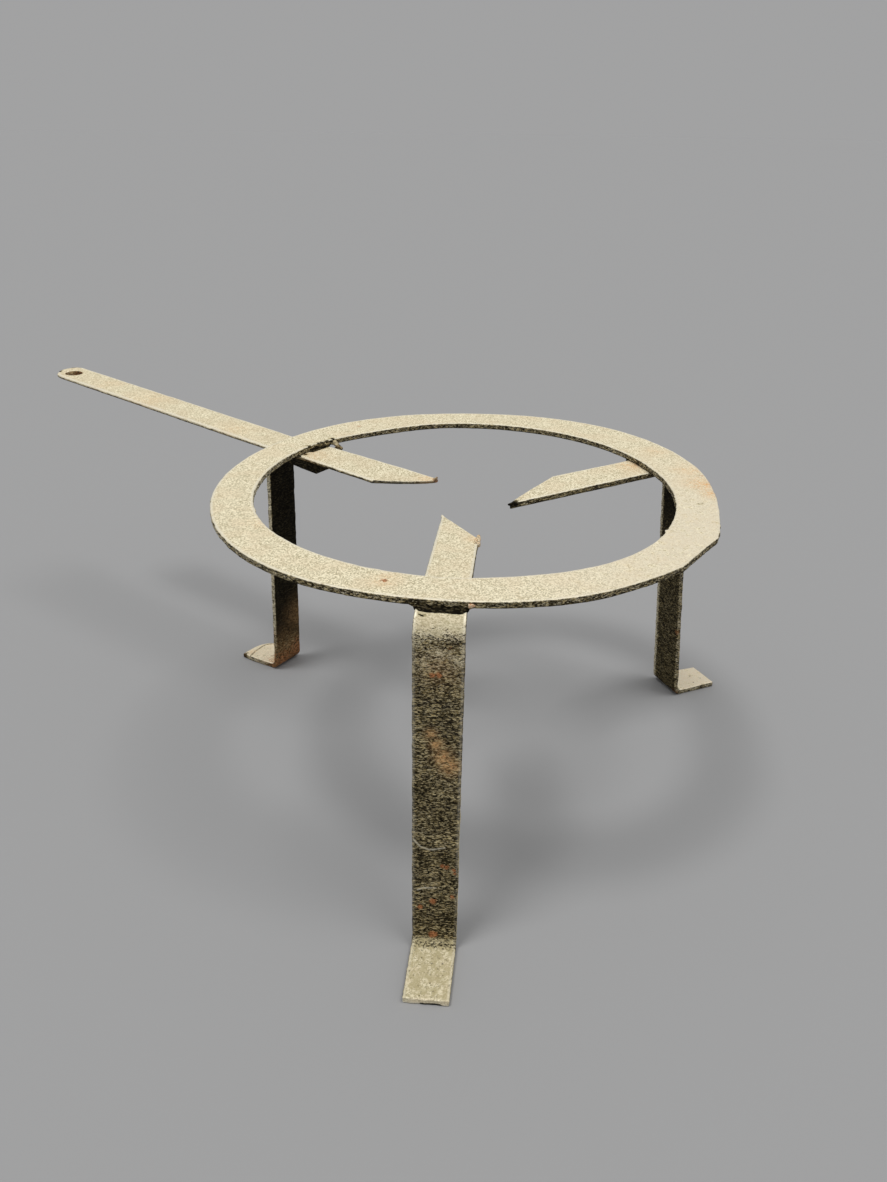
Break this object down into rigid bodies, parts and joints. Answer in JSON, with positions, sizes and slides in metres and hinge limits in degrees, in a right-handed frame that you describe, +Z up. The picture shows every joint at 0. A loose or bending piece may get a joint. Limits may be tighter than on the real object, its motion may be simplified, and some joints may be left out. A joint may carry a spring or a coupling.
{
  "type": "campfire trivet",
  "caption": "Flat iron ring on splayed bar legs with turned-out feet and inward prongs, and a long flat handle with a hanging hole; holds a pot over embers.",
  "frame": {"origin": "on the ground under the middle of the trivet's box, with the soles of the feet at z = 0", "axes": "+Z up; the long handle points along -X, so the ring and its other two legs lie towards +X; millimetres in the source, metres here"},
  "size_m": [0.4574, 0.3028, 0.1603],
  "materials": {
    "forged_iron": "hand-forged flat bar, pale worn grey-tan on faces that look up, black pitted scale with some rust on the upright faces",
    "handle_iron": "drawn-out bar, smoother and more rubbed than the legs",
    "weld_iron": "rough black fillet weld, matt"
  },
  "bodies": {
    "root": {"ring": "forged_iron", "front_leg": "forged_iron", "back_leg": "forged_iron", "handle_leg": "forged_iron", "handle_bar": "handle_iron", "front_leg_weld_left": "weld_iron", "front_leg_weld_right": "weld_iron", "front_leg_weld_outer": "weld_iron", "back_leg_weld_left": "weld_iron", "back_leg_weld_right": "weld_iron", "back_leg_weld_outer": "weld_iron", "handle_bar_weld_left": "weld_iron", "handle_bar_weld_right": "weld_iron", "handle_bar_weld_outer": "weld_iron", "handle_leg_weld_left": "weld_iron", "handle_leg_weld_right": "weld_iron"}
  },
  "joints": []
}
